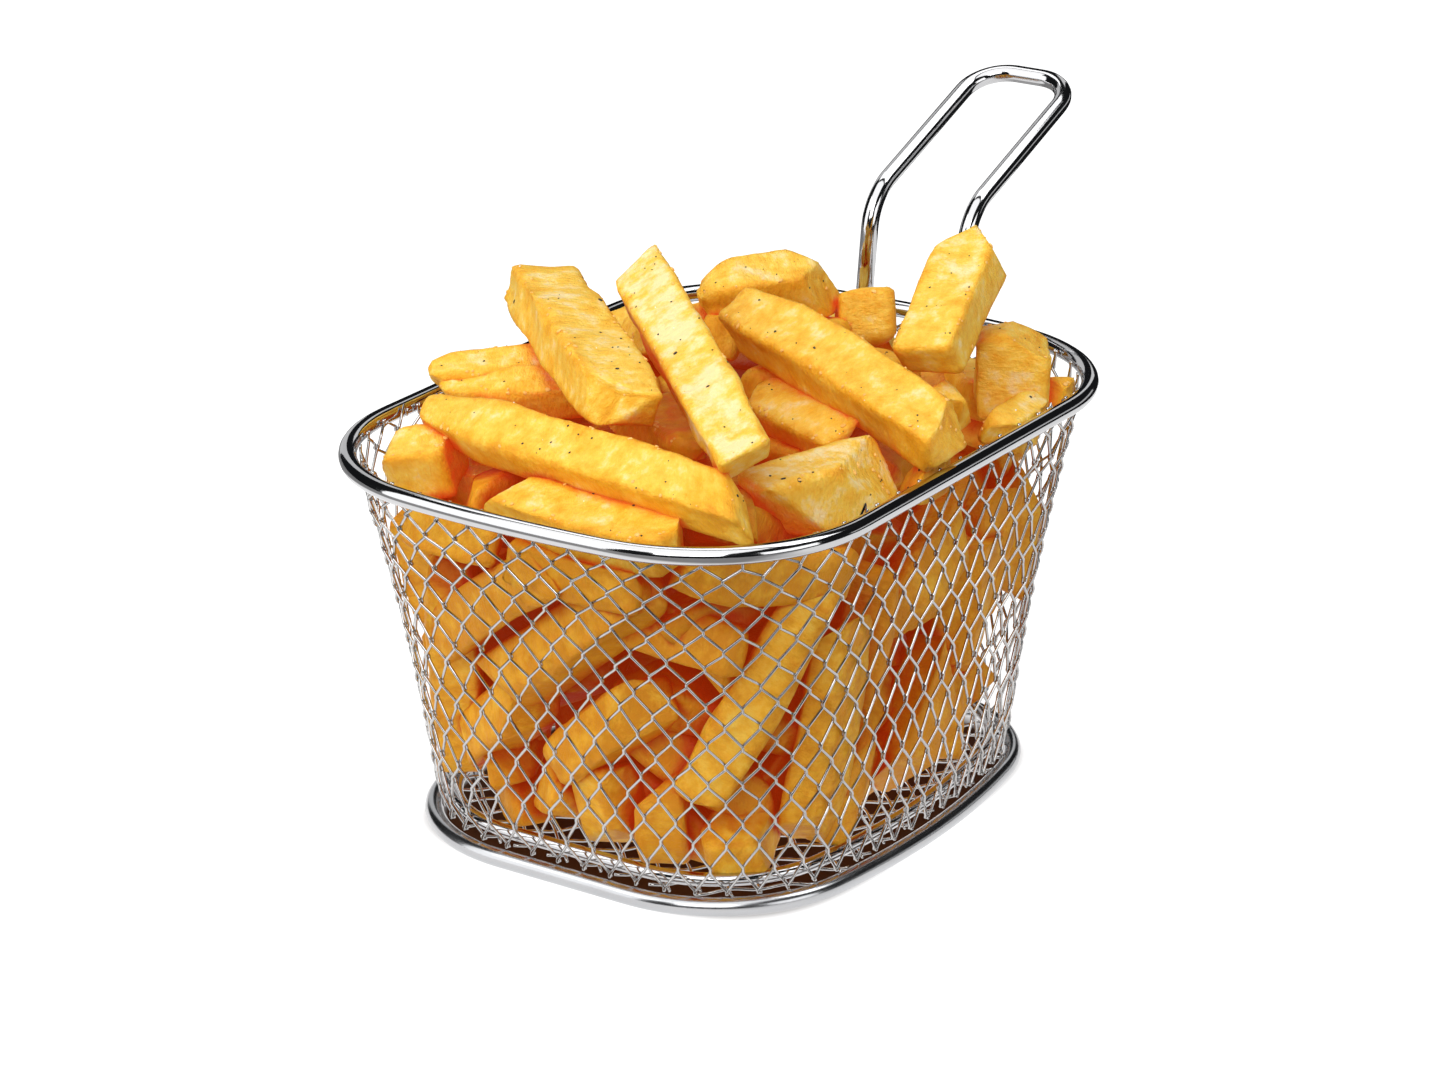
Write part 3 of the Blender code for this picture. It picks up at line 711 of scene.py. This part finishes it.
def reachTable(height):
    # distance from the middle out to the wall, degree by degree
    points, _ = ringTable(wallShape(height * mm), 0.0)
    table = [0.0] * 360
    angles = [(math.degrees(math.atan2(p.y, p.x)) % 360, p.length / mm) for p in points[:-1]]
    angles.sort()
    for k in range(360):
        ahead = next((a for a in angles if a[0] >= k), (angles[0][0] + 360, angles[0][1]))
        behind = next((a for a in reversed(angles) if a[0] <= k), (angles[-1][0] - 360, angles[-1][1]))
        span = ahead[0] - behind[0]
        part = (k - behind[0]) / span if span > 0 else 0
        table[k] = behind[1] + (ahead[1] - behind[1]) * part
    return table


wallTables = [reachTable(wallReach["step"] * k + 1) for k in range(wallReach["count"])]


def fryChance(rng, tones, limber):
    # how one fry differs from the next, where its own line doesn't say
    slope, least = fryLook["endSlope"], fryLook["endLeast"]
    tilt, depth = fryLook["cutTilt"], fryLook["cutDepth"]
    return {
        "tone": rng.uniform(*tones),
        "roll": rng.uniform(-fryLook["roll"], fryLook["roll"]),
        "ends": (rng.uniform(least, 1.0), rng.uniform(least, 1.0)),
        "slant": [(rng.uniform(-slope, slope), rng.uniform(-slope, slope)) for _ in range(2)],
        "bow": [rng.uniform(-1, 1) * fryLook["bend"] * limber for _ in range(2)],
        "skew": rng.uniform(-fryLook["skew"], fryLook["skew"]),
        "cuts": [(side, rng.uniform(-tilt, tilt), rng.uniform(-tilt, tilt), rng.uniform(*depth))
                 for side in (-1, 1)],
    }


def cutStick(unit, box, share, sizes, keep, seed):
    # where a point of the unit cube lies on the stick, and which way is out: tapered towards its ends,
    # its edges rounded, its faces dried in, lumpy and wrinkled
    width, length, thickness = sizes
    taperFrom = fryLook["taperFrom"]
    keep = 1 - (1 - keep) * max(0, (abs(share) - taperFrom) / (1 - taperFrom)) ** fryLook["taperCurve"]
    half = Vector((width / 2 * keep, length / 2, thickness / 2 * keep))
    p = Vector((unit.x * 2 * half.x, box.y, unit.z * 2 * half.z))
    swing = fryLook["cornerSwing"] * noise.noise(box * fryLook["cornerRate"] + seed)
    corner, most = fryLook["corner"] * (1.0 + swing), fryLook["cornerMost"]
    corner = max(fryLook["cornerLeast"], min(corner, half.x * most, half.z * most))
    inner = Vector([max(-(half[k] - corner), min(half[k] - corner, p[k])) for k in range(3)])
    outward = (p - inner).normalized()
    p = inner + outward * corner
    dryX = 1 - min(1, abs(p.x) / half.x) ** 2
    dryZ = 1 - min(1, abs(p.z) / half.z) ** 2
    p.z -= outward.z * fryLook["sink"] * dryX
    p.x -= outward.x * fryLook["sink"] * dryZ
    lumpAcross, lumpAlong = fryLook["lumpSize"]
    broad = Vector((box.x / lumpAcross, box.y / lumpAlong, box.z / lumpAcross))
    stretch = fryLook["wrinkleStretch"]
    fine = Vector((box.x * stretch, box.y, box.z * stretch)) / fryLook["wrinkleSize"]
    p += outward * (fryLook["lump"] * noise.noise(broad + seed)
                    + fryLook["wrinkle"] * noise.noise(fine + seed))
    return p, outward


def slicedEnds(p, share, length, slant, skew, cuts):
    # leaning ends, a section that isn't quite square, and stray slices off the ends
    p.y += (p.x * slant[0] + p.z * slant[1]) * max(0, abs(share) - 0.5) * 2
    p.x += p.z * skew
    for side, tiltX, tiltZ, depth in cuts:
        away = Vector((tiltX, side, tiltZ)).normalized()
        over = (p - Vector((0, side * (length / 2 - depth), 0))).dot(away)
        if over > 0:
            p -= away * over
    return p


def addFry(bm, layers, fry, look, rng):
    # one cut potato stick with a slight bend and twist, laid in its place
    start, end, width, thickness, own = Vector(fry[0]), Vector(fry[1]), fry[2], fry[3], fry[4]
    length = (end - start).length
    size = Vector((width, length, thickness))
    verts = growBox(bm, [max(3, round(s / look["spacing"])) for s in size])
    seed = Vector((rng.uniform(0, 90), rng.uniform(0, 90), rng.uniform(0, 90)))
    limber = min(1.0, length / fryLook["limberLength"])
    chance = fryChance(rng, look["tones"], limber)
    chance.update(own)
    twist = rng.uniform(-fryLook["twist"], fryLook["twist"]) * limber
    turn = (end - start).to_track_quat("Y", "Z") @ Quaternion((0, 1, 0), math.radians(chance["roll"]))
    place = (start + end) / 2
    for vertex in verts:
        share = vertex.co.y * 2                 # -1 at the start of the fry, 1 at its end
        tip = 0 if share < 0 else 1
        box = Vector((vertex.co.x * size.x, vertex.co.y * size.y, vertex.co.z * size.z))
        toFaces = sorted((size[k] / 2 - abs(box[k])) for k in range(3))
        p, outward = cutStick(vertex.co, box, share, (width, length, thickness), chance["ends"][tip], seed)
        p = slicedEnds(p, share, length, chance["slant"][tip], chance["skew"], chance["cuts"])
        turnBy = twist * share
        p.x, p.z = (p.x * math.cos(turnBy) - p.z * math.sin(turnBy),
                    p.x * math.sin(turnBy) + p.z * math.cos(turnBy))
        p.x += chance["bow"][0] * (share * share - fryLook["bowMiddle"])
        p.z += chance["bow"][1] * (share * share - fryLook["bowMiddle"])
        vertex.co = pressedIn(turn @ p + place) * mm + middle
        vertex[layers["crust"]] = math.exp(-(toFaces[1] / fryLook["crustReach"]) ** 2)
        # painted shade: the tone is raised on faces that look sideways or down, and on fries deeper in the
        # basket
        facing = (turn @ outward).z if outward.length > 0 else 1.0
        paintedShadeUnder = fryLook["paintedUndersideShade"] * (0.5 - 0.5 * facing)
        vertex[layers["tone"]] = chance["tone"] + look["paintedDeepShade"] + paintedShadeUnder
        vertex[layers["grain"]] = box + seed


def friesPiece(name, fries, material, *nodes):
    bm = bmesh.new()
    layers = potatoLayers(bm)
    rng = random.Random(heaps[name]["seed"])
    for fry in fries:
        addFry(bm, layers, fry, heaps[name], rng)
    piece = newPiece(name, bm)
    finishPiece(piece, material, "fries", *nodes)
    print(name, len(fries), "fries,", len(piece.data.polygons) * 2, "triangles")
    return piece


filler = {                      # the fries behind those that show, in mm
    "seed": 11,
    # rings: height, how far in from the wall, and how many fries
    "rings": ((10, 15, 6), (20, 16, 6), (30, 17, 7), (40, 17, 7), (50, 17, 7), (58, 19, 7)),
    "stray": 0.2,               # from even spacing in a ring, as a share of it
    "climb": 0.7,
    "reach": (12, 17),          # half a fry's length
    "width": (8.5, 10),
    "thickness": (8, 9.5),
    "underTop": 12,             # laid nearly flat under the top ones
    "area": ((-20, 20), (-34, 32), (57, 61)),
    "flatClimb": 0.15,
    "flatReach": (14, 22),
    "flatWidth": (8.5, 10.5),
}


def fillerFries():
    # in rings round the basket, then in a loose layer under the top
    rng = random.Random(filler["seed"])
    stray, climb, flatClimb = filler["stray"], filler["climb"], filler["flatClimb"]
    fries = []
    for height, inset, count in filler["rings"]:
        table = ringTable(wallShape(height * mm), inset * mm)
        for k in range(count):
            share = (k + rng.uniform(-stray, stray)) / count
            centre = (pointOnRing(table, share, height * mm) - middle) / mm
            ahead = (pointOnRing(table, share + 0.01, height * mm) - middle) / mm       # the way round
            direction = (ahead - centre).normalized()
            direction = (direction + Vector((0, 0, rng.uniform(-climb, climb)))).normalized()
            reach = direction * rng.uniform(*filler["reach"])
            fries.append((centre - reach, centre + reach, rng.uniform(*filler["width"]),
                          rng.uniform(*filler["thickness"]), {}))
    for k in range(filler["underTop"]):
        centre = Vector([rng.uniform(*span) for span in filler["area"]])
        turn = rng.uniform(0, math.pi)
        direction = Vector((math.cos(turn), math.sin(turn), rng.uniform(-flatClimb, flatClimb)))
        reach = direction * rng.uniform(*filler["flatReach"])
        fries.append((centre - reach, centre + reach, rng.uniform(*filler["flatWidth"]),
                      rng.uniform(*filler["thickness"]), {}))
    return fries


def makeCore():
    # the heart of the heap, painted deep in tone, seen only between the fries as painted shade and painted
    # glow
    look = heaps["heapCore"]
    bm = bmesh.new()
    layers = potatoLayers(bm)
    edges = []
    for height in look["heights"]:
        table = ringTable(wallShape(height * mm), look["inset"])
        ring = bmesh.ops.create_circle(bm, segments=look["steps"], radius=1.0)["verts"]
        for k, vertex in enumerate(ring):
            vertex.co = pointOnRing(table, k / look["steps"], height * mm)
        edges.append(list({e for v in ring for e in v.link_edges}))
    for low, high in zip(edges, edges[1:]):
        bmesh.ops.bridge_loops(bm, edges=low + high)
    bmesh.ops.contextual_create(bm, geom=edges[0])
    bmesh.ops.contextual_create(bm, geom=edges[-1])
    bmesh.ops.recalc_face_normals(bm, faces=bm.faces)
    for vertex in bm.verts:
        local = (vertex.co - middle) / mm
        vertex[layers["grain"]] = local
        vertex[layers["tone"]] = look["tone"]
        vertex[layers["crust"]] = look["crust"]
        lump = noise.noise(local / look["lumpSize"])
        vertex.co += Vector((local.x, local.y, 0)).normalized() * lump * look["lump"] * mm
    core = newPiece("heapCore", bm)
    finishPiece(core, potatoDeepPaintedShade, "fries")
    return core


shade = {
    "reach": 22.0,              # how far out a neighbour still shades a face, mm
    "rays": 9,
    "lift": 0.4,                # mm off the face where they start
    "farLoss": 0.5,             # how much less a neighbour at full reach counts
    "span": 0.40,               # from a piece's opening to full painted shade
    "curve": 1.1,
}


def paintShadeBetweenFries(pieces):
    # how much of the view out from each point is blocked by nearby fries, kept on the mesh as "closed":
    # the potato material paints shade and glow from it
    points, faces = [], []
    for piece in pieces:
        first = len(points)
        points += [v.co.copy() for v in piece.data.vertices]
        faces += [[first + k for k in f.vertices] for f in piece.data.polygons]
    tree = BVHTree.FromPolygons(points, faces)
    reach, rays = shade["reach"] * mm, shade["rays"]
    fan = []
    for k in range(rays):                       # even spread of directions over a dome
        out, swing = math.sqrt((k + 0.5) / rays), k * 2.39996       # the golden angle
        fan.append(Vector((out * math.cos(swing), out * math.sin(swing), math.sqrt(1 - out * out))))
    for piece in pieces:
        opening = heaps[piece.name]["opening"]
        values = []
        for vertex in piece.data.vertices:
            face = vertex.normal.to_track_quat("Z", "Y")
            start = vertex.co + vertex.normal * shade["lift"] * mm
            blocked = 0.0
            for direction in fan:
                hit = tree.ray_cast(start, face @ direction, reach)[3]
                if hit is not None:
                    blocked += 1 - shade["farLoss"] * hit / reach
            share = blocked / rays
            values.append(min(1.0, max(0.0, (share - opening) / shade["span"])) ** shade["curve"])
        layer = piece.data.attributes.new("closed", "FLOAT", "POINT")
        layer.data.foreach_set("value", values)


topHeap = friesPiece("topFries", topFries, potatoLightPaintedShade, "fries")
sideHeap = friesPiece("sideFries", sideFries, potatoDeepPaintedShade)
innerHeap = friesPiece("innerFries", fillerFries(), potatoDeepPaintedShade)
core = makeCore()
paintShadeBetweenFries([topHeap, sideHeap, innerHeap, core])
print("fries heaped")

# pepper, salt and crumbs
toppings = {                    # size in mm, squash: height over width, edges: 1 keeps them to cut edges
    "pepperSpecks": {"count": 300, "size": (0.08, 0.22), "squash": 0.55, "edges": 0.0, "seed": 21},
    "pepperFlakes": {"count": 26, "size": (0.28, 0.50), "squash": 0.35, "edges": 0.0, "seed": 24},
    "saltGrains": {"count": 28, "size": (0.09, 0.18), "squash": 0.8, "edges": 0.0, "seed": 22},
    "crustCrumbs": {"count": 560, "size": (0.14, 0.46), "squash": 0.5, "edges": 1.0, "seed": 23},
}
steepest = 0.25                 # grains lie on faces whose normal rises at least this much


def scatter(name, material, heap):
    settings = toppings[name]
    mesh = heap.data
    rng = random.Random(settings["seed"])
    faces = [f for f in mesh.polygons if f.normal.z > steepest]
    crust = mesh.attributes["crust"].data
    edges, squash = settings["edges"], settings["squash"]
    areas = [f.area * (1 - edges + edges * crust[f.vertices[0]].value ** 2) for f in faces]
    bm = bmesh.new()
    for face in rng.choices(faces, weights=areas, k=settings["count"]):
        size = rng.uniform(*settings["size"]) * mm
        grain = bmesh.ops.create_icosphere(bm, subdivisions=1, radius=1.0)["verts"]
        spin = Matrix.Rotation(rng.uniform(0, 6.3), 3, "Z")
        tilt = face.normal.to_track_quat("Z", "Y").to_matrix() @ spin
        shape = Vector((size * rng.uniform(0.7, 1.3), size * rng.uniform(0.7, 1.3), size * squash))
        for vertex in grain:                    # no two grains are broken alike
            p = Vector([vertex.co[k] * shape[k] * rng.uniform(0.75, 1.2) for k in range(3)])
            vertex.co = tilt @ p + face.center + face.normal * size * squash * 0.4      # a little sunk in
    piece = newPiece(name, bm, smooth=False)
    finishPiece(piece, material, "fries")


scatter("pepperSpecks", blackPepper, topHeap)
scatter("pepperFlakes", blackPepper, topHeap)
scatter("saltGrains", seaSalt, topHeap)
scatter("crustCrumbs", crispCrumb, topHeap)
print("seasoned")

# studio
studio = {
    "azimuth": 33.288,          # camera, degrees round from -Y towards +X
    "elevation": 21.10,
    "distance": 705.9 * mm,
    "target": Vector((-0.47, -0.31, 42.52)) * mm,
    "lens": 107.95,
    "floorSize": (1.5, 1.15),
    "floorMiddle": (-0.30, -0.33),
    "floorGlow": 0.95,
    "shadeEdge": (0.7, 1.04),   # painted shadow: the floor's glow is off and its colour dark under the basket, and in full past the foot ring
    "floorTints": ("#4a2a12", "#8c8c8c"),   # painted shadow under the basket, and the floor where it is lit
    # pools of light: middle, mm out to where they fade and end, glow
    "pools": (((-60.0, -60.0), 92.0, 126.0, 0.9), ((180.0, 150.0), 200.0, 260.0, 0.8)),
    "backdropGlow": 1.2,
    "roomGlow": 0.48,           # the room as the fries see it, and as the steel mirrors it
    "roomMirrored": 0.04,
    "roomGrey": "#8c8f94",
    "lightAim": Vector((0, 0, 0.06)),
    # lights: azimuth, elevation, metres out, size, how bright it looks, whether it lights the fries
    "lights": (
        ("overheadSoftbox", 2, 62, 0.95, (1.35, 1.0), 1.6, True),
        ("leftCard", -38, 18, 1.0, (0.75, 1.1), 1.7, True),
        ("frontFill", 25, 32, 1.4, (0.9, 0.7), 3.0, True),
        ("backLeftCard", -123, 18, 1.0, (0.35, 0.9), 0.7, False),
        ("backRightCard", 123, 55, 1.0, (0.35, 0.42), 2.0, False),
        ("backRightLow", 147, 5, 1.0, (0.9, 0.15), 0.6, False),
        ("backTopCard", 180, 72, 0.95, (1.5, 0.4), 2.0, False),
        ("rightLowCard", 82, 12, 1.0, (0.6, 0.45), 1.8, False),
        ("backStreak", -166, 28, 1.0, (0.2, 0.6), 0.8, False),
    ),
}


def directionTo(azimuth, elevation):
    # azimuth round from -Y towards +X, in degrees
    az, el = math.radians(azimuth), math.radians(elevation)
    return Vector((math.sin(az) * math.cos(el), -math.cos(az) * math.cos(el), math.sin(el)))


def makeFloor():
    bm = bmesh.new()
    bmesh.ops.create_grid(bm, x_segments=8, y_segments=8, size=0.5)
    bmesh.ops.scale(bm, vec=(*studio["floorSize"], 1), verts=bm.verts)
    bmesh.ops.translate(bm, vec=(*studio["floorMiddle"], 0), verts=bm.verts)
    floor = newPiece("studioFloor", bm, smooth=False)
    material, tree, shader = newMaterial("whiteFloorWithPaintedShadow")
    seen = addNode(tree, "LightPath")
    place = addNode(tree, "TexCoord")
    ringX, ringY = baseShape[0], baseShape[1]
    squeezed = addNode(tree, "Mapping",
                       {"Location": (-middle.x / ringX, -middle.y / ringY, 0),
                        "Scale": (1 / ringX, 1 / ringY, 0)},
                       {"Vector": place.outputs["Object"]})
    sides = addNode(tree, "SeparateXYZ", {}, {"Vector": squeezed})
    powers = []                                 # two fourth powers add up to 1 on a rounded oblong
    for axis in ("X", "Y"):
        size = addNode(tree, "Math", {"operation": "ABSOLUTE"}, {0: sides.outputs[axis]})
        powers.append(addNode(tree, "Math", {"operation": "POWER", 1: 4.0}, {0: size}))
    oblong = addNode(tree, "Math", {"operation": "ADD"}, {0: powers[0], 1: powers[1]})
    # painted shadow: under the basket the floor's glow fades out and its colour turns dark brown
    shadeFrom, shadeTo = studio["shadeEdge"]
    outside = addNode(tree, "MapRange",
                      {"From Min": shadeFrom, "From Max": shadeTo, "To Max": studio["floorGlow"]},
                      {"Value": oblong})
    mirrored = None                             # patches of lit floor that only the wires and fries see
    for (x, y), inner, outer, strength in studio["pools"]:
        out = addNode(tree, "VectorMath", {"operation": "DISTANCE", 1: (x * mm, y * mm, 0)},
                      {0: place.outputs["Object"]})
        patch = addNode(tree, "MapRange",
                        {"From Min": inner * mm, "From Max": outer * mm, "To Min": strength, "To Max": 0.0},
                        {"Value": out.outputs["Value"]})
        links = {0: patch, 1: mirrored} if mirrored else {0: patch}
        mirrored = addNode(tree, "Math", {"operation": "ADD", 1: 0.0}, links)
    glow = addNode(tree, "Mix", {"data_type": "FLOAT"},
                   {0: seen.outputs["Is Camera Ray"], 2: mirrored, 3: outside})
    paintedShadeUnder, around = [linear(tint) for tint in studio["floorTints"]]
    floorTintWithPaintedShadow = addNode(tree, "Mix", {"data_type": "RGBA", 6: paintedShadeUnder, 7: around}, {0: outside})
    setNode(tree, shader, {"Roughness": 0.7, "Specular IOR Level": 0.1, "Emission Color": (1, 1, 1, 1)},
            {"Base Color": floorTintWithPaintedShadow.outputs[2], "Emission Strength": glow})
    floor.data.materials.append(material)


def makeCamera():
    data = bpy.data.cameras.new("camera")
    data.lens = studio["lens"]
    data.sensor_width = 36
    data.clip_start = 0.01
    camera = newObject("camera", data)
    back = directionTo(studio["azimuth"], studio["elevation"])
    target = studio["target"] + middle
    camera.location = target + back * studio["distance"]
    camera.rotation_euler = (-back).to_track_quat("-Z", "Y").to_euler()
    bpy.context.scene.camera = camera


def makeLights():
    # flat oblong lights that face the basket; the cards among them are only mirrored in the steel
    for name, azimuth, elevation, distance, size, radiance, lit in studio["lights"]:
        data = bpy.data.lights.new(name, "AREA")
        data.shape = "RECTANGLE"
        data.size, data.size_y = size
        data.energy = radiance * math.pi * size[0] * size[1]
        light = newObject(name, data)
        out = directionTo(azimuth, elevation)
        light.location = studio["lightAim"] + out * distance
        light.rotation_euler = (-out).to_track_quat("-Z", "Y").to_euler()
        light.visible_camera = False
        light.visible_diffuse = lit


def makeRoom():
    # white to the camera, a soft light to the fries, nearly dark in the steel
    world = bpy.data.worlds.new("studioRoom")
    bpy.context.scene.world = world
    world.use_nodes = True
    tree = world.node_tree
    tree.nodes.clear()
    seen = addNode(tree, "LightPath")
    backdrop = addNode(tree, "Background", {"Color": (1, 1, 1, 1), "Strength": studio["backdropGlow"]})
    dark = addNode(tree, "Background",
                   {"Color": linear(studio["roomGrey"]), "Strength": studio["roomMirrored"]})
    soft = addNode(tree, "Background", {"Color": (1, 1, 1, 1), "Strength": studio["roomGlow"]})
    room = addNode(tree, "MixShader", {},
                   {0: seen.outputs["Is Glossy Ray"], 1: soft, 2: dark})
    mix = addNode(tree, "MixShader", {},
                  {0: seen.outputs["Is Camera Ray"], 1: room, 2: backdrop})
    addNode(tree, "OutputWorld", {}, {"Surface": mix})
    bpy.context.scene.view_settings.view_transform = "Standard"


makeFloor()
makeCamera()
makeLights()
makeRoom()
print("studio set")
